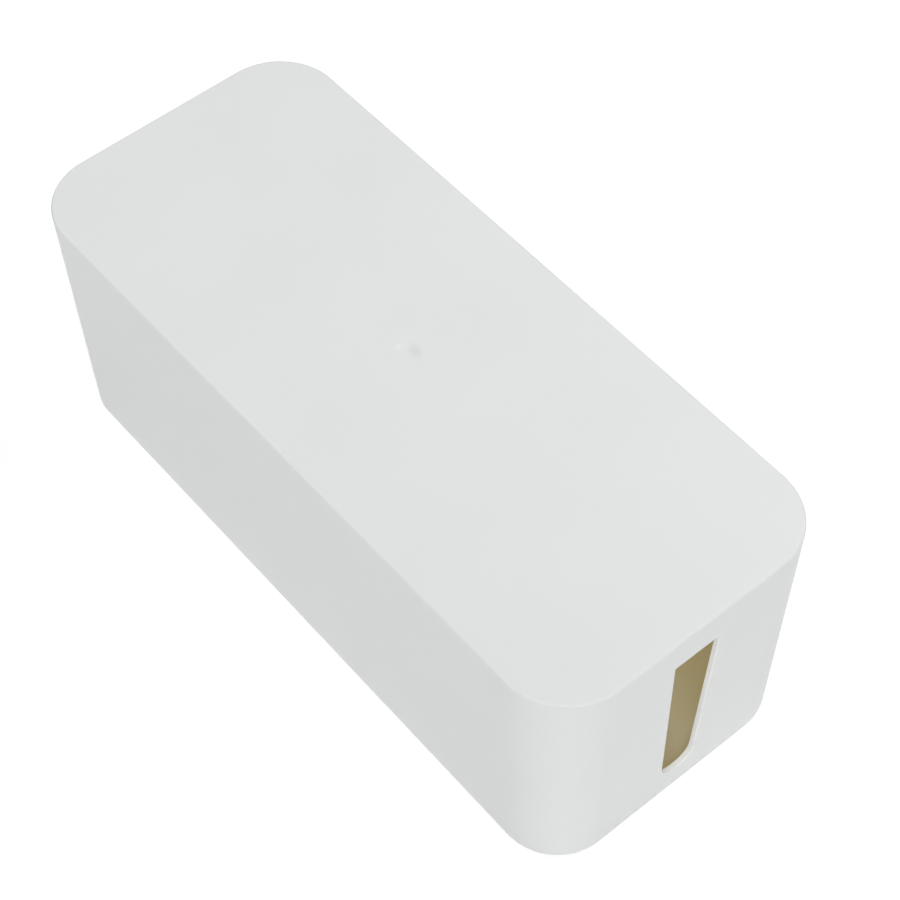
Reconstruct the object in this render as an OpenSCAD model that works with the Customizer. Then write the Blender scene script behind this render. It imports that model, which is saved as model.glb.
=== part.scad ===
// Cable management box: a moulded tub with a cable slot in each end, a lift-off lid that sits
// flush on its rim, and four stuck-on rubber feet.
// Millimetres. +Z is up and the feet stand on z = 0. +X is the right-hand end, -Y is the front.

/* [Box] */
// Length of the closed box over its top edge
box_length = 320; // [220:1:480]
// Width of the closed box over its top edge
box_width = 133.4; // [100:0.2:220]
// Height from the underside of the tub to the top of the lid
shell_height = 118.8; // [80:0.2:200]
// Radius of the upright corners, at the top
corner_radius = 27.8; // [18:0.2:40]
// How far each side leans in between the top and the underside
side_lean = 3.3; // [1:0.1:6]
// Thickness of the upright walls
wall = 2.4; // [1.6:0.1:3.6]

/* [Tub] */
// Thickness of the tub's floor
floor_thickness = 2.4; // [1.8:0.1:4]
// Radius of the tub's bottom edge
bottom_edge_radius = 0.8; // [0.4:0.1:3]
// Radius where the floor meets the walls inside
floor_fillet = 3; // [1:0.5:6]

/* [Lid] */
// Height of the lid from its lower edge to its top
lid_height = 17; // [10:0.5:30]
// Thickness of the lid's top plate
lid_thickness = 2.4; // [1.6:0.1:3.6]
// Radius of the lid's top edge
top_edge_radius = 1.2; // [0.3:0.1:4]
// Radius where the lid's plate meets its skirt inside
lid_fillet = 1.2; // [0.4:0.1:3]
// Diameter of the moulding gate's dimple in the middle of the lid
gate_diameter = 10; // [3:0.5:14]
// Depth of the moulding gate's dimple
gate_depth = 0.3; // [0.1:0.1:0.8]

/* [Locating ribs] */
// Number of ribs along each long side of the lid
ribs_per_side = 4; // [2:1:7]
// Thickness of a rib
rib_thickness = 1.6; // [1:0.1:3]
// How far a rib stands in from the lid's skirt
rib_depth = 3.2; // [2:0.1:6]
// How far a rib reaches down inside the tub
rib_reach = 4.5; // [2:0.5:8]
// Bevel that leads a rib's tip into the tub
rib_lead = 1; // [0.4:0.1:1.5]
// Distance from the end of a straight wall to its first rib
rib_end_gap = 12; // [4:1:24]
// Distance from a cable slot's side to the rib beside it
rib_slot_gap = 9; // [4:0.5:14]
// Clearance between a rib and the tub's wall
rib_clearance = 0.4; // [0.2:0.1:0.8]

/* [Cable slots] */
// Width of a cable slot at the tub's rim
slot_width = 21.6; // [14:0.1:40]
// Height of a slot's lower end above the tub's underside
slot_sill = 13.2; // [9:0.2:30]
// How far each side of a slot leans in between the rim and its lower end
slot_lean = 2.9; // [0:0.1:3.5]
// Radius of a slot's lower corners
slot_corner_radius = 7.2; // [1:0.1:8]

/* [Feet] */
// Diameter of a rubber foot
foot_diameter = 12; // [8:0.5:20]
// Thickness of a rubber foot
foot_thickness = 1.8; // [1.2:0.1:4]
// Radius of a foot's lower edge
foot_edge_radius = 0.4; // [0.2:0.1:1]
// Distance from the sides of the tub's underside to a foot's centre
foot_inset = 22; // [16:1:34]
// Depth of the shallow seat that a foot is stuck into
seat_depth = 0.8; // [0.4:0.1:1.2]
// Clearance round a foot in its seat
seat_clearance = 0.3; // [0.1:0.1:1]
// Diameter of the adhesive disc that holds a foot
tape_diameter = 11; // [6:0.5:12]
// Thickness of the adhesive disc
tape_thickness = 0.2; // [0.1:0.1:0.5]

/* [Hidden] */
$fn = 96;

plastic = [0.90, 0.91, 0.91];
rubber = [0.30, 0.30, 0.31];
adhesive = [0.78, 0.76, 0.70];

// Cutters run this far past the faces that they open
overcut = 1;
// Straight steps in each rounded edge
arc_steps = 8;

// Heights
tape_top = foot_thickness + tape_thickness;
underside = tape_top - seat_depth;
floor_top = underside + floor_thickness;
top = underside + shell_height;
rim = top - lid_height;
ceiling = top - lid_thickness;

// The upright corners turn about four axes, which stand straight while the walls lean
axis_x = box_length / 2 - corner_radius;
axis_y = box_width / 2 - corner_radius;
wall_angle = atan(side_lean / shell_height);
slot_angle = atan(slot_lean / (rim - underside - slot_sill));

// Feet are placed from the edges of the underside
foot_x = box_length / 2 - side_lean - foot_inset;
foot_y = box_width / 2 - side_lean - foot_inset;

front_left = [-1, -1];
front_right = [1, -1];
rear_left = [-1, 1];
rear_right = [1, 1];
corners = [front_left, front_right, rear_left, rear_right];

// Distance from a corner axis out to the outer face of the wall, at height z
function outer_face(z) = corner_radius - (top - z) * tan(wall_angle);
function inner_face(z) = outer_face(z) - wall;

// Points of a rounding of radius r about a centre, or the centre alone where nothing is rounded
function rounding(centre, r, from, to) = r == 0 ? [centre] :
    [for (step = [0 : arc_steps]) centre + r * dir(from + (to - from) * step / arc_steps)];

function dir(angle) = [cos(angle), sin(angle)];

// Centre of a rounding of radius r at height z, which touches a face that passes through reach there
function rounding_centre(reach, angle, z, r) = [reach - r / cos(angle), z];

// Half of an upright section, from its middle out to a face that is at reach when z is z_high and
// leans in by angle below it. Its lower and upper outer corners are rounded by r_low and r_high.
module half_section(reach, angle, z_low, z_high, r_low = 0, r_high = 0) {
    low_z = z_low + r_low;
    high_z = z_high - r_high;
    low = rounding_centre(reach - (z_high - low_z) * tan(angle), angle, low_z, r_low);
    high = rounding_centre(reach - (z_high - high_z) * tan(angle), angle, high_z, r_high);
    polygon([
        [0, z_low],
        each rounding(low, r_low, -90, -angle),
        each rounding(high, r_high, -angle, 90),
        [0, z_high],
    ]);
}

// A solid with the box's rounded plan, whose wall face is set in from the outside by inset
module leaning_block(inset, z_low, z_high, r_low = 0, r_high = 0) {
    reach = outer_face(z_high) - inset;
    for (quarter = [0 : 3]) {
        out = quarter % 2 == 0 ? axis_x : axis_y;
        along = quarter % 2 == 0 ? axis_y : axis_x;
        rotate(90 * quarter) translate([out, along, 0]) {
            rotate_extrude(angle = 90)
                half_section(reach, wall_angle, z_low, z_high, r_low, r_high);
            rotate([90, 0, 0]) linear_extrude(2 * along)
                half_section(reach, wall_angle, z_low, z_high, r_low, r_high);
        }
    }
    translate([-axis_x, -axis_y, z_low]) cube([2 * axis_x, 2 * axis_y, z_high - z_low]);
}

// The shape that a cable slot takes out of both end walls, open to the rim
module slot_cutter() {
    reach = slot_width / 2 + overcut * tan(slot_angle);
    for (end = [0, 180], side = [0, 1])
        rotate(end) mirror([0, side, 0]) translate([axis_x, 0, 0]) rotate([90, 0, 90])
            linear_extrude(corner_radius + overcut)
                half_section(reach, slot_angle, underside + slot_sill, rim + overcut, slot_corner_radius);
}

module base_tub() {
    color(plastic) difference() {
        leaning_block(0, underside, rim, bottom_edge_radius);
        leaning_block(wall, floor_top, rim + overcut, floor_fillet);
        slot_cutter();
        for (corner = corners) translate([corner.x * foot_x, corner.y * foot_y, underside - overcut])
            cylinder(d = foot_diameter + 2 * seat_clearance, h = seat_depth + overcut);
    }
}

// A rib's outline seen along the wall: x is the distance out from the corner axes. Above the rim it
// is rooted in the skirt and the plate, and below it it keeps its clearance from the tub.
module rib_outline() {
    tip = rim - rib_reach;
    inner_edge = inner_face(rim) - rib_depth;
    polygon([
        [inner_edge, ceiling + lid_thickness / 2],
        [inner_edge, tip],
        [inner_face(tip) - rib_clearance - rib_lead, tip],
        [inner_face(tip + rib_lead) - rib_clearance, tip + rib_lead],
        [inner_face(rim) - rib_clearance, rim],
        [inner_face(rim) + wall / 2, rim],
        [inner_face(rim) + wall / 2, ceiling + lid_thickness / 2],
    ]);
}

// Ribs on one wall and on the wall opposite, at the given places along them
module wall_ribs(turn, out, places) {
    for (side = [0, 180], place = places)
        rotate(turn + side) translate([out, place + rib_thickness / 2, 0]) rotate([90, 0, 0])
            linear_extrude(rib_thickness) rib_outline();
}

module lid() {
    first = rib_end_gap - axis_x;
    pitch = -2 * first / (ribs_per_side - 1);
    beside_slot = slot_width / 2 + rib_slot_gap;
    color(plastic) {
        difference() {
            leaning_block(0, rim, top, 0, top_edge_radius);
            leaning_block(wall, rim - overcut, ceiling, 0, lid_fillet);
            translate([0, 0, top - gate_depth]) cylinder(d = gate_diameter, h = gate_depth + overcut);
        }
        wall_ribs(90, axis_y, [for (i = [0 : ribs_per_side - 1]) first + i * pitch]);
        wall_ribs(0, axis_x, [-beside_slot, beside_slot]);
    }
}

// Feet and their adhesive discs turn about an upright axis, so each is half a section revolved
module foot(corner) {
    color(rubber) translate([corner.x * foot_x, corner.y * foot_y, 0]) rotate_extrude()
        half_section(foot_diameter / 2, 0, 0, foot_thickness, foot_edge_radius);
}

module foot_tape(corner) {
    color(adhesive) translate([corner.x * foot_x, corner.y * foot_y, foot_thickness])
        cylinder(d = tape_diameter, h = tape_thickness);
}

base_tub();
lid();
foot(front_left);  // foot_front_left
foot(front_right);  // foot_front_right
foot(rear_left);  // foot_rear_left
foot(rear_right);  // foot_rear_right
foot_tape(front_left);  // foot_tape_front_left
foot_tape(front_right);  // foot_tape_front_right
foot_tape(rear_left);  // foot_tape_rear_left
foot_tape(rear_right);  // foot_tape_rear_right
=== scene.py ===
# A long moulded box that hides a power strip and its slack cable: a tub with a cable slot in each
# end, a loose lid that sits flush on its rim, and four rubber feet stuck under it. Sizes are in
# millimetres, and each finished piece is scaled to metres.
import math

import bmesh
import bpy
from mathutils import Matrix, Quaternion, Vector


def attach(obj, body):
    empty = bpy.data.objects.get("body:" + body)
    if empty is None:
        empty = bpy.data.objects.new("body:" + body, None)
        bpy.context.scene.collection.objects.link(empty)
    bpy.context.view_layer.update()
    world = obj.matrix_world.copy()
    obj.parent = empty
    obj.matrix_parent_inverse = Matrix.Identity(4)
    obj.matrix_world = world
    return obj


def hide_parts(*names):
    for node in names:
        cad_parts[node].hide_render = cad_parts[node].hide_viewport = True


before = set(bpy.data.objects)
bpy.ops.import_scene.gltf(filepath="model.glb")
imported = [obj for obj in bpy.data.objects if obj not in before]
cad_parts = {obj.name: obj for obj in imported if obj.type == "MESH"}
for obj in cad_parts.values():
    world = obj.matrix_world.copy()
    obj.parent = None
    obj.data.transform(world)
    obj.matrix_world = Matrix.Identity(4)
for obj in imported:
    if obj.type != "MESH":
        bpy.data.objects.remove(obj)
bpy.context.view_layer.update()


# Camera. It stands beyond the box's near corner and looks down at the lid, with the front long side
# on the left and the slotted right-hand end on the right.
millimetre = 0.001
camera_azimuth = 50.86
camera_elevation = 54.06
camera_roll = -1.02
camera_distance = 920.4
camera_target = Vector((5.92, 14.43, 49.1))
lens_length = 91.54
film_width = 36
nearest_seen = 50
farthest_seen = 50000


def direction(azimuth, elevation):
    """The way from the box to what stands round it. Azimuth 0 is in front of the long side, and 90
    is beyond the right-hand end."""
    turn, rise = math.radians(azimuth), math.radians(elevation)
    return Vector((math.sin(turn) * math.cos(rise), -math.cos(turn) * math.cos(rise),
                   math.sin(rise)))


to_camera = direction(camera_azimuth, camera_elevation)
camera_data = bpy.data.cameras.new("camera")
camera_data.lens = lens_length
camera_data.sensor_width = film_width
camera_data.clip_start = nearest_seen * millimetre
camera_data.clip_end = farthest_seen * millimetre
camera = bpy.data.objects.new("camera", camera_data)
camera.location = (camera_target + to_camera * camera_distance) * millimetre
camera.rotation_mode = "QUATERNION"
camera.rotation_quaternion = ((-to_camera).to_track_quat("-Z", "Y")
                              @ Quaternion((0, 0, 1), math.radians(camera_roll)))
bpy.context.scene.collection.objects.link(camera)
bpy.context.scene.camera = camera


# Studio. A plain pale table that runs on past the frame, in a white room with four soft lamps. Table
# and room are white to the camera and in reflections, and near the box the table takes its shadow.
table_size = 8000
table_colour = "#FCFCFB"
shadow_colour = "#E8E8E7"
white = "#FFFFFF"
# How much the shadow's ground glows out to its reach. From there to its end it turns to plain white.
shadow_glow = 0.42
shadow_reach = 300
shadow_end = 600
room_light = 0.081
lamp_aim = Vector((0, 0, 60))
light_crossings = 32


def linear(colour):
    """An sRGB hex colour as the linear colour that a shader takes."""
    parts = [int(colour[place:place + 2], 16) / 255 for place in (1, 3, 5)]
    return [p / 12.92 if p <= 0.04045 else ((p + 0.055) / 1.055) ** 2.4 for p in parts] + [1]


def add_node(tree, kind, inputs=None, **settings):
    """Adds a node. Each input takes a value, or the output socket that is linked to it."""
    node = tree.nodes.new(kind)
    for name, value in settings.items():
        setattr(node, name, value)
    for name, value in (inputs or {}).items():
        if isinstance(value, bpy.types.NodeSocket):
            tree.links.new(value, node.inputs[name])
        else:
            node.inputs[name].default_value = value
    return node


def seen_directly(tree):
    """1 where the camera sees this, also in a gloss or through glass, and 0 where it sheds light."""
    rays = add_node(tree, "ShaderNodeLightPath").outputs
    either = add_node(tree, "ShaderNodeMath",
                      {0: rays["Is Camera Ray"], 1: rays["Is Glossy Ray"]}, operation="MAXIMUM")
    return add_node(tree, "ShaderNodeMath",
                    {0: either.outputs[0], 1: rays["Is Transmission Ray"]},
                    operation="MAXIMUM").outputs[0]


room = bpy.data.worlds.new("white_room")
room.use_nodes = True
room.node_tree.nodes.clear()
bpy.context.scene.world = room
tree = room.node_tree
room_glow = add_node(tree, "ShaderNodeBackground", {"Color": linear(white), "Strength": room_light})
room_white = add_node(tree, "ShaderNodeBackground", {"Color": linear(white), "Strength": 1})
room_mix = add_node(tree, "ShaderNodeMixShader",
                    {0: seen_directly(tree), 1: room_glow.outputs[0], 2: room_white.outputs[0]})
add_node(tree, "ShaderNodeOutputWorld", {"Surface": room_mix.outputs[0]})

# Painted board: it gives the eye nothing but the soft shadow, which the glow keeps light. Further
# out, where less of the lamps' light falls, the glow alone is white.
board = bpy.data.materials.new("painted_white_board")
board.use_nodes = True
board.node_tree.nodes.clear()
tree = board.node_tree
board_paint = add_node(tree, "ShaderNodeBsdfDiffuse", {"Color": linear(table_colour)})
board_shadow = add_node(tree, "ShaderNodeBsdfDiffuse", {"Color": linear(shadow_colour)})
board_place = add_node(tree, "ShaderNodeTexCoord").outputs["Object"]
from_box = add_node(tree, "ShaderNodeVectorMath", {0: board_place}, operation="LENGTH")
glow = add_node(tree, "ShaderNodeMapRange",
                {"Value": from_box.outputs["Value"], "From Min": shadow_reach * millimetre,
                 "From Max": shadow_end * millimetre, "To Min": shadow_glow, "To Max": 1},
                interpolation_type="SMOOTHSTEP")
board_glow = add_node(tree, "ShaderNodeEmission",
                      {"Color": linear(white), "Strength": glow.outputs[0]})
board_lit = add_node(tree, "ShaderNodeAddShader",
                     {0: board_shadow.outputs[0], 1: board_glow.outputs[0]})
board_mix = add_node(tree, "ShaderNodeMixShader",
                     {0: seen_directly(tree), 1: board_paint.outputs[0], 2: board_lit.outputs[0]})
add_node(tree, "ShaderNodeOutputMaterial", {"Surface": board_mix.outputs[0]})

half_table = table_size / 2 * millimetre
table_corners = [(-half_table, -half_table, 0), (half_table, -half_table, 0),
                 (half_table, half_table, 0), (-half_table, half_table, 0)]
table_mesh = bpy.data.meshes.new("table_top")
table_mesh.from_pydata(table_corners, [], [(0, 1, 2, 3)])
table_mesh.materials.append(board)
table = bpy.data.objects.new("table_top", table_mesh)
bpy.context.scene.collection.objects.link(table)


def hang_softbox(name, azimuth, elevation, distance, width, watts):
    """A square soft lamp that faces the middle of the box and doesn't show itself."""
    away = direction(azimuth, elevation)
    data = bpy.data.lights.new(name, "AREA")
    data.energy = watts
    data.size = width * millimetre
    lamp = bpy.data.objects.new(name, data)
    lamp.location = (away * distance + lamp_aim) * millimetre
    lamp.rotation_mode = "QUATERNION"
    lamp.rotation_quaternion = (-away).to_track_quat("-Z", "Y")
    lamp.visible_camera = False
    bpy.context.scene.collection.objects.link(lamp)


hang_softbox("right_front_softbox", azimuth=30, elevation=50, distance=2600, width=1733, watts=26.6)
hang_softbox("low_right_softbox", azimuth=70, elevation=20, distance=2600, width=1733, watts=19.2)
hang_softbox("back_softbox", azimuth=170, elevation=50, distance=1200, width=800, watts=6.94)
hang_softbox("left_softbox", azimuth=300, elevation=45, distance=1200, width=800, watts=3.45)

# The closed box is lit inside by light that crosses it many times
bpy.context.scene.cycles.max_bounces = light_crossings
bpy.context.scene.cycles.diffuse_bounces = light_crossings
bpy.context.scene.cycles.use_denoising = True
bpy.context.scene.view_settings.view_transform = "Standard"


# Tub. The lower moulding, in white polypropylene: four leaning walls with large upright corners, a
# floor with four shallow seats for the feet, and a round-bottomed cable slot in each end wall. It is
# injection moulded upside down, through a gate in the middle of its underside.
box_length = 320
box_width = 133.4
corner_radius = 27.8
wall = 2.4
# Heights above the table, and how far each side leans in from the top down to the underside
top = 120
rim = 103
floor_top = 3.6
underside = 1.2
side_lean = 3.3
# Roundings of the floor's two edges, the rim's inner edge and the parting line
bottom_edge_radius = 0.8
floor_fillet = 3
rim_inner_radius = 0.25
parting_radius = 0.04
# Cable slots: width at the rim, height of the lower end, and how far each side leans in down to it
slot_width = 21.6
slot_sill = 14.4
slot_lean = 2.9
slot_corner_radius = 7.2
# Roundings of a slot's outer and inner edges, and of its two tips at the rim
slot_edge_radius = 0.35
slot_inner_radius = 0.2
slot_tip_radius = 0.1
# Foot seats: their centres, a rounded lower edge with its middle point, and a bevelled upper corner
foot_x = 134.7
foot_y = 41.4
seat_diameter = 12.6
seat_top = 2.0
seat_edge_radius = 0.25
seat_edge_middle = 0.07
seat_corner = 0.15
# Radius and depth of the points of the gate's recess, and of the stub of the gate in it
recess_points = [(4.2, 0), (4.05, 0.06), (3.8, 0.34), (3.5, 0.4)]
recess_stub_points = [(1.1, 0.4), (0.95, 0.3), (0.9, 0.12), (0.75, 0.08)]
# Straight steps round an upright corner, and across a rounded edge
corner_steps = 48
edge_steps = 5
# Places of the finishes among a moulding's materials
outside_finish = 0
inside_finish = 1
slot_finish = 2

# The upright corners turn about four axes, which stand straight while the walls lean
axis_x = box_length / 2 - corner_radius
axis_y = box_width / 2 - corner_radius
lean_angle = math.degrees(math.atan(side_lean / (top - underside)))
slot_angle = math.degrees(math.atan(slot_lean / (rim - slot_sill)))


def outer_face(height):
    """Reach of the outer wall face from the upright axis of a corner."""
    return corner_radius - (top - height) * side_lean / (top - underside)


def inner_face(height):
    """Reach of the inner wall face from the upright axis of a corner."""
    return outer_face(height) - wall


def slot_side(height):
    """Half the slot's width."""
    return slot_width / 2 - (rim - height) * slot_lean / (rim - slot_sill)


def rounded(face, height, radius, start, end, angle, steps=12):
    """Arc of an edge radius that touches a face leaning by angle, with its centre at height. Its
    ends are in degrees from straight out."""
    reach = face(height) - radius / math.cos(math.radians(angle))
    turns = [math.radians(start + (end - start) * step / steps) for step in range(steps + 1)]
    return [(reach + radius * math.cos(turn), height + radius * math.sin(turn)) for turn in turns]


def sweep_wall(mesh, section, inside_from, bare_ends=()):
    """Sweeps a wall's section round the box's plan and returns a ring of vertices for each of its
    points. The bands from inside_from on face the inside of the box, and the bands in bare_ends
    leave out the end walls' faces, which the slots are cut into."""
    rings = []
    for reach, height in section:
        ring = []
        for quarter, (side, back) in enumerate([(1, 1), (-1, 1), (-1, -1), (1, -1)]):
            for step in range(corner_steps + 1):
                turn = math.radians(90 * (quarter + step / corner_steps))
                ring.append(mesh.verts.new((side * axis_x + reach * math.cos(turn),
                                            back * axis_y + reach * math.sin(turn), height)))
        rings.append(ring)
    count = len(rings[0])
    for band, (first, second) in enumerate(zip(rings, rings[1:])):
        for here in range(count):
            if band in bare_ends and here in (count // 2 - 1, count - 1):
                continue
            there = (here + 1) % count
            face = mesh.faces.new((first[here], first[there], second[there], second[here]))
            face.material_index = inside_finish if band >= inside_from else outside_finish
    return rings


def turn_rings(mesh, section, x=0, y=0, steps=48):
    """Turns a section of (radius, height) points about an upright axis, closes its last ring with a
    face and returns its first ring."""
    turns = [2 * math.pi * step / steps for step in range(steps)]
    rings = []
    for radius, height in section:
        rings.append([mesh.verts.new((x + radius * math.cos(turn), y + radius * math.sin(turn),
                                      height)) for turn in turns])
    for first, second in zip(rings, rings[1:]):
        for here in range(steps):
            there = (here + 1) % steps
            mesh.faces.new((first[here], first[there], second[there], second[here]))
    mesh.faces.new(rings[-1])
    return rings[0]


def fill_flat(mesh, finish, *outlines):
    """Fills the flat face inside the first outline and outside the others."""
    edges = []
    for outline in outlines:
        for here, there in zip(outline, outline[1:] + outline[:1]):
            edges.append(mesh.edges.get((here, there)) or mesh.edges.new((here, there)))
    made = bmesh.ops.triangle_fill(mesh, use_beauty=True, edges=edges)
    for face in made["geom"]:
        if isinstance(face, bmesh.types.BMFace):
            face.material_index = finish


def soften(mesh, radius, *lines):
    """Gives the edges along lines of vertices a radius, for the bevel. Where a slot interrupts a
    line there is no edge to soften."""
    layers = mesh.edges.layers.float
    weight = layers.get("bevel_weight_edge") or layers.new("bevel_weight_edge")
    for line in lines:
        for here, there in zip(line, line[1:]):
            edge = mesh.edges.get((here, there))
            if edge:
                edge[weight] = radius


def moulding(name, mesh, finishes):
    """An object with the mesh, whose edges are rounded and whose flat faces stay flat to the eye."""
    bmesh.ops.recalc_face_normals(mesh, faces=mesh.faces)
    data = bpy.data.meshes.new(name)
    mesh.to_mesh(data)
    mesh.free()
    for finish in finishes:
        data.materials.append(finish)
    data.shade_smooth()
    source = bpy.data.objects.new(name + "_source", data)
    bpy.context.scene.collection.objects.link(source)
    bevel = source.modifiers.new("edge radii", "BEVEL")
    bevel.limit_method = "WEIGHT"
    bevel.width = 1
    bevel.segments = edge_steps
    source.modifiers.new("flat faces", "WEIGHTED_NORMAL")
    return source


def finished_piece(name, source, body):
    """Applies an object's modifiers, scales the result to metres and lets it ride on a body."""
    graph = bpy.context.evaluated_depsgraph_get()
    data = bpy.data.meshes.new_from_object(source.evaluated_get(graph), depsgraph=graph)
    data.transform(Matrix.Scale(millimetre, 4))
    data.name = name
    piece = bpy.data.objects.new(name, data)
    bpy.context.scene.collection.objects.link(piece)
    bpy.data.objects.remove(source)
    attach(piece, body)
    return piece


def new_finish(name):
    """An empty material, its tree, its Principled shader, and Object coordinates."""
    finish = bpy.data.materials.new(name)
    finish.use_nodes = True
    tree = finish.node_tree
    tree.nodes.clear()
    shader = add_node(tree, "ShaderNodeBsdfPrincipled")
    add_node(tree, "ShaderNodeOutputMaterial", {"Surface": shader.outputs[0]})
    return finish, tree, shader, add_node(tree, "ShaderNodeTexCoord").outputs["Object"]


# A Mix node's sockets for colours. Their names are also those of other sockets on it.
share, first_colour, second_colour = 0, 6, 7
mixed = 2

# White polypropylene, moulded against a spark-eroded cavity: an even satin with a grain of about
# 0.15 mm, too fine to show, so it is drawn at 0.5 mm. Slow flow marks move its gloss and its white a
# little, and it is duller in a halo round the gate. Round the gate's dish, a grey patch of painted
# shade lies on one side and a small painted highlight on the other, in place of its shaded and lit
# slopes.
plastic_ior = 1.49
flow_width = 55
grain_width = 0.5
grain_height = 0.1
halo_core = 4
halo_reach = 16
halo_roughness = 0.06
# Painted shade: a grey patch on one side of the gate's dish, in place of its shaded slope
painted_shade_centre = Vector((1.9, 1.6, 0))
painted_shade_reach = Vector((5.8, 3.6, 1))
painted_shade_core = 0.1
painted_shade_turn = -20
painted_shade_share = 0.13
# Painted highlight: a whiter spot on the other side of the dish, in place of its lit slope
painted_highlight_centre = Vector((-3.6, -2, 0))
painted_highlight_core = 0.2
painted_highlight_reach = 2.2
painted_highlight_share = 0.2

satin, tree, shader, place = new_finish("textured_white_polypropylene")
flow = add_node(tree, "ShaderNodeTexNoise",
                {"Vector": place, "Scale": 1 / (flow_width * millimetre), "Detail": 2,
                 "Roughness": 0.4})
whites = add_node(tree, "ShaderNodeMix",
                  {share: flow.outputs["Fac"], first_colour: linear("#E2E4E4"),
                   second_colour: linear("#E7E9E9")}, data_type="RGBA")
flat_place = add_node(tree, "ShaderNodeVectorMath", {0: place, 1: (1, 1, 0)}, operation="MULTIPLY")
from_gate = add_node(tree, "ShaderNodeVectorMath", {0: flat_place.outputs[0]}, operation="LENGTH")
# The painted shade's patch, an ellipse turned about the gate, mixes grey into the whites
painted_shade_place = add_node(tree, "ShaderNodeMapping",
                       {"Vector": flat_place.outputs[0], "Location": painted_shade_centre * millimetre,
                        "Rotation": (0, 0, math.radians(painted_shade_turn)),
                        "Scale": painted_shade_reach * millimetre}, vector_type="TEXTURE")
from_painted_shade = add_node(tree, "ShaderNodeVectorMath", {0: painted_shade_place.outputs[0]}, operation="LENGTH")
painted_shade = add_node(tree, "ShaderNodeMapRange",
                 {"Value": from_painted_shade.outputs["Value"], "From Min": painted_shade_core, "From Max": 1,
                  "To Min": painted_shade_share, "To Max": 0}, interpolation_type="SMOOTHSTEP")
with_painted_shade = add_node(tree, "ShaderNodeMix",
                   {share: painted_shade.outputs[0], first_colour: whites.outputs[mixed],
                    second_colour: linear("#9FA1A1")}, data_type="RGBA")
# The painted highlight's spot mixes white into the colour
from_painted_highlight = add_node(tree, "ShaderNodeVectorMath",
                       {0: flat_place.outputs[0], 1: painted_highlight_centre * millimetre},
                       operation="DISTANCE")
painted_highlight = add_node(tree, "ShaderNodeMapRange",
                  {"Value": from_painted_highlight.outputs["Value"], "From Min": painted_highlight_core * millimetre,
                   "From Max": painted_highlight_reach * millimetre, "To Min": painted_highlight_share, "To Max": 0},
                  interpolation_type="SMOOTHSTEP")
with_painted_highlight = add_node(tree, "ShaderNodeMix",
                    {share: painted_highlight.outputs[0], first_colour: with_painted_shade.outputs[mixed],
                     second_colour: linear(white)}, data_type="RGBA")
tree.links.new(with_painted_highlight.outputs[mixed], shader.inputs["Base Color"])
halo = add_node(tree, "ShaderNodeMapRange",
                {"Value": from_gate.outputs["Value"], "From Min": halo_core * millimetre,
                 "From Max": halo_reach * millimetre, "To Min": halo_roughness, "To Max": 0},
                interpolation_type="SMOOTHSTEP")
roughness = add_node(tree, "ShaderNodeMapRange",
                     {"Value": flow.outputs["Fac"], "From Min": 0.3, "From Max": 0.7,
                      "To Min": 0.47, "To Max": 0.53})
dulled = add_node(tree, "ShaderNodeMath",
                  {0: roughness.outputs[0], 1: halo.outputs[0]}, operation="ADD")
tree.links.new(dulled.outputs[0], shader.inputs["Roughness"])
grain = add_node(tree, "ShaderNodeTexNoise",
                 {"Vector": place, "Scale": 1 / (grain_width * millimetre), "Detail": 2,
                  "Roughness": 0.6})
dimples = add_node(tree, "ShaderNodeBump",
                   {"Height": grain.outputs["Fac"], "Strength": 0.12,
                    "Distance": grain_height * millimetre})
tree.links.new(dimples.outputs[0], shader.inputs["Normal"])
shader.inputs["IOR"].default_value = plastic_ior

# The same polypropylene off the draw-polished core: smoother and a little whiter, with faint upright
# lines that are drawn wider than they are, so that they show.
polish_line_width = 1.2
polish_line_height = 0.1

polished, tree, shader, place = new_finish("polished_white_polypropylene")
flow = add_node(tree, "ShaderNodeTexNoise",
                {"Vector": place, "Scale": 1 / (flow_width * millimetre), "Detail": 2,
                 "Roughness": 0.4})
whites = add_node(tree, "ShaderNodeMix",
                  {share: flow.outputs["Fac"], first_colour: linear("#E9EBEA"),
                   second_colour: linear("#EDEFEE")}, data_type="RGBA")
tree.links.new(whites.outputs[mixed], shader.inputs["Base Color"])
drawn = add_node(tree, "ShaderNodeMapping", {"Vector": place, "Scale": (1, 1, 0.03)})
lines = add_node(tree, "ShaderNodeTexNoise",
                 {"Vector": drawn.outputs[0], "Scale": 1 / (polish_line_width * millimetre),
                  "Detail": 3})
roughness = add_node(tree, "ShaderNodeMapRange",
                     {"Value": lines.outputs["Fac"], "From Min": 0.3, "From Max": 0.7,
                      "To Min": 0.36, "To Max": 0.46})
tree.links.new(roughness.outputs[0], shader.inputs["Roughness"])
scratches = add_node(tree, "ShaderNodeBump",
                     {"Height": lines.outputs["Fac"], "Strength": 0.08,
                      "Distance": polish_line_height * millimetre})
tree.links.new(scratches.outputs[0], shader.inputs["Normal"])
shader.inputs["IOR"].default_value = plastic_ior

# The same again where the two halves of the mould shut against each other and cut out the slots. It
# is smooth, and it has a painted glow, a faint bluish white, that stands in for light travelling
# inside the wall and keeps it from darkening.
narrow_flow_width = 20

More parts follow.
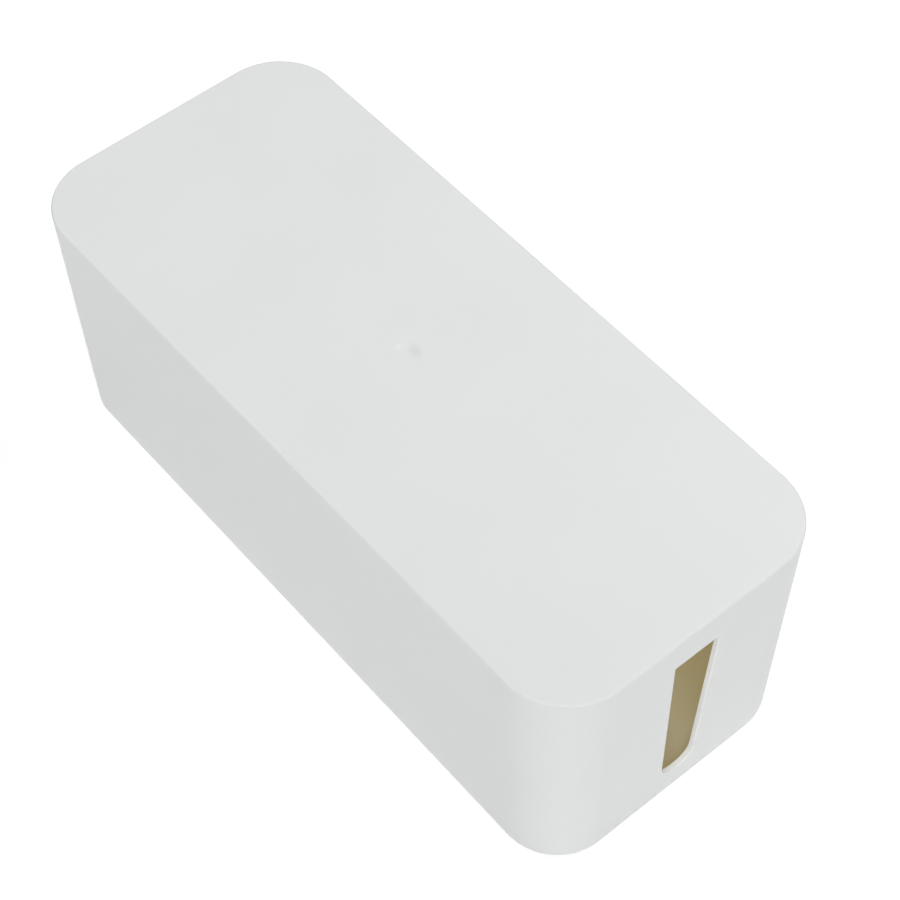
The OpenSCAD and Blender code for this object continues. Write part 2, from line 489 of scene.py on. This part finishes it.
shut_off_with_painted_glow, tree, shader, place = new_finish("smooth_white_polypropylene_edge_painted_glow")
flow = add_node(tree, "ShaderNodeTexNoise",
                {"Vector": place, "Scale": 1 / (narrow_flow_width * millimetre), "Detail": 2,
                 "Roughness": 0.4})
whites = add_node(tree, "ShaderNodeMix",
                  {share: flow.outputs["Fac"], first_colour: linear("#E3E5E4"),
                   second_colour: linear("#E8E9E8")}, data_type="RGBA")
tree.links.new(whites.outputs[mixed], shader.inputs["Base Color"])
roughness = add_node(tree, "ShaderNodeMapRange",
                     {"Value": flow.outputs["Fac"], "From Min": 0.3, "From Max": 0.7,
                      "To Min": 0.4, "To Max": 0.48})
tree.links.new(roughness.outputs[0], shader.inputs["Roughness"])
shader.inputs["IOR"].default_value = plastic_ior
# Painted glow: a faint bluish-white emission on the slots' cut faces, though no lamp is there
shader.inputs["Emission Color"].default_value = linear("#DCE9FF")
shader.inputs["Emission Strength"].default_value = 0.2

# The section runs up the outside from the underside, over the rim, and down the inside to the floor
tub = bmesh.new()
bottom_edge = rounded(outer_face, underside + bottom_edge_radius, bottom_edge_radius,
                      -90, -lean_angle, lean_angle)
rim_section = [(outer_face(rim), rim), (inner_face(rim), rim)]
floor_edge = rounded(inner_face, floor_top + floor_fillet, floor_fillet,
                     -lean_angle, -90, lean_angle)
outside = len(bottom_edge) - 1
rings = sweep_wall(tub, bottom_edge + rim_section + floor_edge, outside + 2,
                   bare_ends=(outside, outside + 1, outside + 2))
low, outer_rim, inner_rim, deep = rings[outside:outside + 4]

# Each slot runs down from the rim, round its lower corners and up again
slot_corner = rounded(slot_side, slot_sill + slot_corner_radius, slot_corner_radius,
                      -slot_angle, -90, slot_angle, steps=24)
slot_half = [(slot_side(rim), rim)] + slot_corner
slot_line = slot_half + [(-along, height) for along, height in reversed(slot_half)]
count = len(low)
for side, here, there in [(1, count - 1, 0), (-1, count // 2 - 1, count // 2)]:
    outer, inner = [[tub.verts.new((side * (axis_x + face(height)), side * along, height))
                     for along, height in slot_line] for face in (outer_face, inner_face)]
    tub.faces.new([low[here], low[there], outer_rim[there], *outer, outer_rim[here]])
    inner_wall = tub.faces.new([deep[there], deep[here], inner_rim[here], *reversed(inner),
                                inner_rim[there]])
    inner_wall.material_index = inside_finish
    tub.faces.new([outer_rim[here], outer[-1], inner[-1], inner_rim[here]])
    tub.faces.new([outer[0], outer_rim[there], inner_rim[there], inner[0]])
    for step in range(len(slot_line) - 1):
        cut = tub.faces.new([outer[step], outer[step + 1], inner[step + 1], inner[step]])
        cut.material_index = slot_finish
    soften(tub, slot_edge_radius, outer)
    soften(tub, slot_inner_radius, inner)
    soften(tub, slot_tip_radius, [outer[0], inner[0]], [outer[-1], inner[-1]])
    soften(tub, parting_radius, [outer_rim[here], outer[-1]], [outer[0], outer_rim[there]])
    soften(tub, rim_inner_radius, [inner_rim[here], inner[-1]], [inner[0], inner_rim[there]])
soften(tub, parting_radius, outer_rim + outer_rim[:1])
soften(tub, rim_inner_radius, inner_rim + inner_rim[:1])

# The underside has the foot seats and the gate's recess in it
seat_radius = seat_diameter / 2
seat_section = [(seat_radius + seat_edge_radius, underside),
                (seat_radius + seat_edge_middle, underside + seat_edge_middle),
                (seat_radius, underside + seat_edge_radius),
                (seat_radius, seat_top - seat_corner),
                (seat_radius - seat_corner, seat_top)]
seats = [turn_rings(tub, seat_section, side * foot_x, back * foot_y)
         for side, back in [(-1, -1), (1, -1), (1, 1), (-1, 1)]]
recess = turn_rings(tub, [(radius, underside + depth)
                          for radius, depth in recess_points + recess_stub_points])
fill_flat(tub, outside_finish, rings[0], recess, *seats)
fill_flat(tub, inside_finish, rings[-1])
tub_source = moulding("tub_shell", tub, [satin, polished, shut_off_with_painted_glow])
tub_shell = finished_piece("tub_shell", tub_source, "tub")
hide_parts("base_tub")


# Lid. The upper moulding, in the same polypropylene: a flat plate with a short skirt whose outside
# runs on flush from the tub's. The gate in the middle of its top leaves a shallow dish with a stub.
lid_thickness = 2.4
lid_fillet = 1.2
top_edge_radius = 1.2
# The dish deepens towards its middle, where the stub takes the place of its last two steps
dish_radius = 6.8
dish_depth = 0.4
dish_steps = 20
# Radius, and height above the bottom of the dish, of the points of the stub
stub_points = [(0.6, -0.01), (0.56, 0.08), (0.48, 0.12), (0.25, 0.13)]
ceiling = top - lid_thickness

# The polished finish again, with a painted glow: a warm yellow emission that stands in for light
# coming down through the plate, and that makes the inside of the closed box warm.
polished_with_painted_glow = polished.copy()
polished_with_painted_glow.name = "polished_white_polypropylene_painted_glow"
shader = polished_with_painted_glow.node_tree.nodes["Principled BSDF"]
# Painted glow: the plate's underside and the lid's pin marks glow warm, though no lamp is there
shader.inputs["Emission Color"].default_value = linear("#FFD46F")
shader.inputs["Emission Strength"].default_value = 0.181

# The section runs down the outside from the top, under the skirt, and up the inside to the plate
lid = bmesh.new()
top_edge = rounded(outer_face, top - top_edge_radius, top_edge_radius,
                   90, -lean_angle, lean_angle, steps=16)
ceiling_edge = rounded(inner_face, ceiling - lid_fillet, lid_fillet, -lean_angle, 90, lean_angle)
rings = sweep_wall(lid, top_edge + rim_section + ceiling_edge, len(top_edge) + 1)
outer_rim, inner_rim = rings[len(top_edge):len(top_edge) + 2]
soften(lid, parting_radius, outer_rim + outer_rim[:1])
soften(lid, rim_inner_radius, inner_rim + inner_rim[:1])
dish_section = [(dish_radius * (1 - step / dish_steps), top - dish_depth * (step / dish_steps) ** 2)
                for step in range(dish_steps - 1)]
dish_bottom = dish_section[-1][1]
stub_section = [(radius, dish_bottom + height) for radius, height in stub_points]
dish = turn_rings(lid, dish_section + stub_section)
fill_flat(lid, outside_finish, rings[0], dish)
fill_flat(lid, inside_finish, rings[-1])
lid_source = moulding("lid_shell", lid, [satin, polished_with_painted_glow])
lid_shell = finished_piece("lid_shell", lid_source, "lid")
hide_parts("lid")


# Locating ribs. Twelve thin ribs moulded inside the lid's skirt reach down into the tub and keep the
# lid from sliding. Each has a bevelled tip that leads it past the rim, and a little clearance.
rib_thickness = 1.6
rib_depth = 3.2
rib_reach = 4.5
rib_lead = 1.0
rib_clearance = 0.4
rib_edge_radius = 0.3
# Gaps from the end of a straight wall to its first rib, and from a slot's side to the rib beside it
rib_end_gap = 12
rib_slot_gap = 9
ribs_per_side = 4
# A rib enters the skirt at its heel, just over the rim, and its root is buried in the plastic
heel_depth = 0.1
heel_height = 0.2
root_depth = 1.2
root_height = 0.6


def new_tree(name, sockets):
    """A Geometry Nodes tree with a geometry and the named sockets going in and a geometry coming
    out, and the outputs of its group input node."""
    tree = bpy.data.node_groups.new(name, "GeometryNodeTree")
    tree.interface.new_socket("Geometry", in_out="OUTPUT", socket_type="NodeSocketGeometry")
    tree.interface.new_socket("Geometry", in_out="INPUT", socket_type="NodeSocketGeometry")
    for label, kind in sockets.items():
        tree.interface.new_socket(label, in_out="INPUT", socket_type="NodeSocket" + kind)
    return tree, add_node(tree, "NodeGroupInput").outputs


def grow(name, mesh, tree, sizes):
    """An object with the mesh as the start of a tree, whose named inputs are set."""
    data = bpy.data.meshes.new(name)
    mesh.to_mesh(data)
    mesh.free()
    source = bpy.data.objects.new(name + "_source", data)
    bpy.context.scene.collection.objects.link(source)
    modifier = source.modifiers.new(name, "NODES")
    modifier.node_group = tree
    for item in tree.interface.items_tree:
        if item.in_out == "INPUT" and item.name in sizes:
            modifier[item.identifier] = sizes[item.name]
    return source


rib_tree, rib = new_tree("ribs_round_the_skirt",
                         {"Thickness": "Float", "Ribs per Side": "Int", "First Rib": "Float",
                          "Side Pitch": "Float", "Beside Slot": "Float", "Axis X": "Float",
                          "Axis Y": "Float", "Finish": "Material"})

# One rib: the outline drawn out to its thickness, closed at the back and centred
thick = add_node(rib_tree, "ShaderNodeCombineXYZ", {"Y": rib["Thickness"]})
raised = add_node(rib_tree, "GeometryNodeExtrudeMesh",
                  {"Mesh": rib["Geometry"], "Offset": thick.outputs[0], "Individual": False})
turned_over = add_node(rib_tree, "GeometryNodeFlipFaces", {"Mesh": rib["Geometry"]})
both_sides = add_node(rib_tree, "GeometryNodeJoinGeometry", {"Geometry": raised.outputs["Mesh"]})
rib_tree.links.new(turned_over.outputs[0], both_sides.inputs[0])
closed = add_node(rib_tree, "GeometryNodeMergeByDistance",
                  {"Geometry": both_sides.outputs[0], "Distance": 0.001})
half_back = add_node(rib_tree, "ShaderNodeVectorMath",
                     {0: thick.outputs[0], "Scale": -0.5}, operation="SCALE")
one_rib = add_node(rib_tree, "GeometryNodeTransform",
                   {"Geometry": closed.outputs[0], "Translation": half_back.outputs[0]})

# A row of ribs along the rear side, and a rib on each side of the slot in the right-hand end
side_start = add_node(rib_tree, "ShaderNodeCombineXYZ", {"X": rib["First Rib"], "Y": rib["Axis Y"]})
side_step = add_node(rib_tree, "ShaderNodeCombineXYZ", {"X": rib["Side Pitch"]})
side_places = add_node(rib_tree, "GeometryNodeMeshLine",
                       {"Count": rib["Ribs per Side"], "Start Location": side_start.outputs[0],
                        "Offset": side_step.outputs[0]})
side_ribs = add_node(rib_tree, "GeometryNodeInstanceOnPoints",
                     {"Points": side_places.outputs[0], "Instance": one_rib.outputs[0],
                      "Rotation": (0, 0, math.radians(90))})
slot_back = add_node(rib_tree, "ShaderNodeMath",
                     {0: rib["Beside Slot"], 1: -1}, operation="MULTIPLY")
slot_gap = add_node(rib_tree, "ShaderNodeMath",
                    {0: rib["Beside Slot"], 1: 2}, operation="MULTIPLY")
end_start = add_node(rib_tree, "ShaderNodeCombineXYZ",
                     {"X": rib["Axis X"], "Y": slot_back.outputs[0]})
end_step = add_node(rib_tree, "ShaderNodeCombineXYZ", {"Y": slot_gap.outputs[0]})
end_places = add_node(rib_tree, "GeometryNodeMeshLine",
                      {"Count": 2, "Start Location": end_start.outputs[0],
                       "Offset": end_step.outputs[0]})
end_ribs = add_node(rib_tree, "GeometryNodeInstanceOnPoints",
                    {"Points": end_places.outputs[0], "Instance": one_rib.outputs[0]})

# The same again, half a turn round, for the front side and the left-hand end
half_of_them = add_node(rib_tree, "GeometryNodeJoinGeometry", {"Geometry": side_ribs.outputs[0]})
rib_tree.links.new(end_ribs.outputs[0], half_of_them.inputs[0])
opposite = add_node(rib_tree, "GeometryNodeTransform",
                    {"Geometry": half_of_them.outputs[0], "Rotation": (0, 0, math.radians(180))})
all_of_them = add_node(rib_tree, "GeometryNodeJoinGeometry", {"Geometry": half_of_them.outputs[0]})
rib_tree.links.new(opposite.outputs[0], all_of_them.inputs[0])
real_ribs = add_node(rib_tree, "GeometryNodeRealizeInstances", {"Geometry": all_of_them.outputs[0]})
finished_ribs = add_node(rib_tree, "GeometryNodeSetMaterial",
                         {"Geometry": real_ribs.outputs[0], "Material": rib["Finish"]})
add_node(rib_tree, "NodeGroupOutput", {0: finished_ribs.outputs[0]})

# A rib's outline, seen along the wall
tip = rim - rib_reach
inner_edge = inner_face(rim) - rib_depth
rib_points = [(inner_edge, ceiling + root_depth),
              (inner_edge, tip),
              (inner_face(tip) - rib_clearance - rib_lead, tip),
              (inner_face(tip + rib_lead) - rib_clearance, tip + rib_lead),
              (inner_face(rim) - rib_clearance, rim),
              (inner_face(rim) + heel_depth, rim + heel_height),
              (inner_face(rim) + root_depth, rim + root_height),
              (inner_face(rim) + root_depth, ceiling + root_depth)]
rib_outline = bmesh.new()
rib_outline.faces.new([rib_outline.verts.new((reach, 0, height)) for reach, height in rib_points])

first_rib = rib_end_gap - axis_x
ribs = grow("locating_ribs", rib_outline, rib_tree,
            {"Thickness": rib_thickness, "Ribs per Side": ribs_per_side, "First Rib": first_rib,
             "Side Pitch": -2 * first_rib / (ribs_per_side - 1),
             "Beside Slot": slot_width / 2 + rib_slot_gap, "Axis X": axis_x, "Axis Y": axis_y,
             "Finish": polished})
rib_bevel = ribs.modifiers.new("edge radii", "BEVEL")
rib_bevel.width = rib_edge_radius
rib_bevel.segments = 3
rib_bevel.angle_limit = math.radians(40)
rib_bevel.harden_normals = True
locating_ribs = finished_piece("lid_locating_ribs", ribs, "lid")
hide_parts("lid")


# Ejector pin marks. Eight pins push each moulding off its core, and each leaves a faint round pad
# inside, on the tub's floor and under the lid's plate.
pin_columns = 4
pin_rows = 2
pin_radius = 4
pin_mark_height = 0.12
# A mark's rounded edge: how far its face and its side stand in, and how much of the height the side
# takes up
pin_face_inset = 0.14
pin_side_inset = 0.04
pin_side_share = 0.7

grid_tree, spot = new_tree("copies_in_rows",
                           {"Columns": "Int", "Rows": "Int", "Length": "Float", "Width": "Float",
                            "Height": "Float", "Finish": "Material"})
rows = add_node(grid_tree, "GeometryNodeMeshGrid",
                {"Size X": spot["Length"], "Size Y": spot["Width"],
                 "Vertices X": spot["Columns"], "Vertices Y": spot["Rows"]})
lift = add_node(grid_tree, "ShaderNodeCombineXYZ", {"Z": spot["Height"]})
lifted = add_node(grid_tree, "GeometryNodeTransform",
                  {"Geometry": rows.outputs[0], "Translation": lift.outputs[0]})
copies = add_node(grid_tree, "GeometryNodeInstanceOnPoints",
                  {"Points": lifted.outputs[0], "Instance": spot["Geometry"]})
real_copies = add_node(grid_tree, "GeometryNodeRealizeInstances", {"Geometry": copies.outputs[0]})
finished_copies = add_node(grid_tree, "GeometryNodeSetMaterial",
                           {"Geometry": real_copies.outputs[0], "Material": spot["Finish"]})
add_node(grid_tree, "NodeGroupOutput", {0: finished_copies.outputs[0]})


def turned(section, steps=48):
    """A closed mesh turned about an upright axis from a section of (radius, height) points."""
    mesh = bmesh.new()
    mesh.faces.new(turn_rings(mesh, section, steps=steps))
    bmesh.ops.recalc_face_normals(mesh, faces=mesh.faces)
    for face in mesh.faces:
        face.smooth = True
    return mesh


pin_side_height = pin_side_share * pin_mark_height
pin_mark_section = [(pin_radius - pin_face_inset, -pin_mark_height),
                    (pin_radius - pin_side_inset, -pin_side_height),
                    (pin_radius - pin_side_inset, pin_side_height),
                    (pin_radius - pin_face_inset, pin_mark_height)]
for name, body, node, finish, height, length, width in [
        ("tub_pin_marks", "tub", "base_tub", polished, floor_top, 216.0, 62.0),
        ("lid_pin_marks", "lid", "lid", polished_with_painted_glow, ceiling, 206.0, 54.0)]:
    marks = grow(name, turned(pin_mark_section), grid_tree,
                 {"Columns": pin_columns, "Rows": pin_rows, "Length": length, "Width": width,
                  "Height": height, "Finish": finish})
    marks.modifiers.new("flat faces", "WEIGHTED_NORMAL")
    pin_marks = finished_piece(name, marks, body)
    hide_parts(node)


# Feet. Four round feet of soft moulded rubber, each stuck into its seat under the tub. Each has a
# rounded lower edge and a shallow hollow in its face, which grips a smooth table.
foot_radius = 6
foot_thickness = 1.8
foot_edge_radius = 0.4
# Inset from the foot's side, and height, of the points of its hollow
hollow_points = [(1.8, 0.25), (1.45, 0.2), (1.2, 0.03), (1.1, 0)]
# Inset from the foot's side, and drop from its top, of the points of its upper edge
upper_edge_points = [(0, 0.15), (0.06, 0.04), (0.15, 0)]

# Soft black rubber, moulded matt: a dull dark grey that a little dust clings to, with a fine grain
# that is drawn at 0.3 mm so that it shows.
dust_width = 4
rubber_grain_width = 0.3
rubber_grain_height = 0.1

rubber, tree, shader, place = new_finish("moulded_soft_rubber")
dust = add_node(tree, "ShaderNodeTexNoise",
                {"Vector": place, "Scale": 1 / (dust_width * millimetre), "Detail": 4})
greys = add_node(tree, "ShaderNodeMix",
                 {share: dust.outputs["Fac"], first_colour: linear("#39393B"),
                  second_colour: linear("#48484A")}, data_type="RGBA")
tree.links.new(greys.outputs[mixed], shader.inputs["Base Color"])
grain = add_node(tree, "ShaderNodeTexNoise",
                 {"Vector": place, "Scale": 1 / (rubber_grain_width * millimetre), "Detail": 2})
skin = add_node(tree, "ShaderNodeBump",
                {"Height": grain.outputs["Fac"], "Strength": 0.3,
                 "Distance": rubber_grain_height * millimetre})
tree.links.new(skin.outputs[0], shader.inputs["Normal"])
shader.inputs["Roughness"].default_value = 0.78
shader.inputs["IOR"].default_value = 1.52


def foot_side(height):
    """Reach of a foot's upright side, which is the same at any height."""
    return foot_radius


hollow = [(foot_radius - inset, height) for inset, height in hollow_points]
lower_edge = rounded(foot_side, foot_edge_radius, foot_edge_radius, -90, 0, 0, steps=6)
upper_edge = [(foot_radius - inset, foot_thickness - drop) for inset, drop in upper_edge_points]
foot = turned(hollow + lower_edge + upper_edge, steps=64)
feet = grow("feet", foot, grid_tree,
            {"Columns": 2, "Rows": 2, "Length": 2 * foot_x, "Width": 2 * foot_y, "Height": 0.0,
             "Finish": rubber})
feet.modifiers.new("flat faces", "WEIGHTED_NORMAL")
rubber_feet = finished_piece("rubber_feet", feet, "tub")
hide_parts("foot_front_left", "foot_front_right", "foot_rear_left", "foot_rear_right")


# Adhesive discs. A thin disc of acrylic foam tape holds each foot in its seat. Only the rim of it
# shows, between the rubber and the tub.
cell_width = 0.4
cell_height = 0.05

# Acrylic foam tape, cut with a die: a dull tan that the cells of the foam speckle and dimple. They
# are drawn at 0.4 mm so that they show.
tape, tree, shader, place = new_finish("acrylic_foam_tape")
cells = add_node(tree, "ShaderNodeTexNoise",
                 {"Vector": place, "Scale": 1 / (cell_width * millimetre), "Detail": 3})
tans = add_node(tree, "ShaderNodeMix",
                {share: cells.outputs["Fac"], first_colour: linear("#BDB8A8"),
                 second_colour: linear("#D2CDBF")}, data_type="RGBA")
tree.links.new(tans.outputs[mixed], shader.inputs["Base Color"])
foam = add_node(tree, "ShaderNodeBump",
                {"Height": cells.outputs["Fac"], "Strength": 0.4,
                 "Distance": cell_height * millimetre})
tree.links.new(foam.outputs[0], shader.inputs["Normal"])
shader.inputs["Roughness"].default_value = 0.62
shader.inputs["IOR"].default_value = 1.47
for name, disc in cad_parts.items():
    if name.startswith("foot_tape"):
        disc.data.materials.clear()
        disc.data.materials.append(tape)
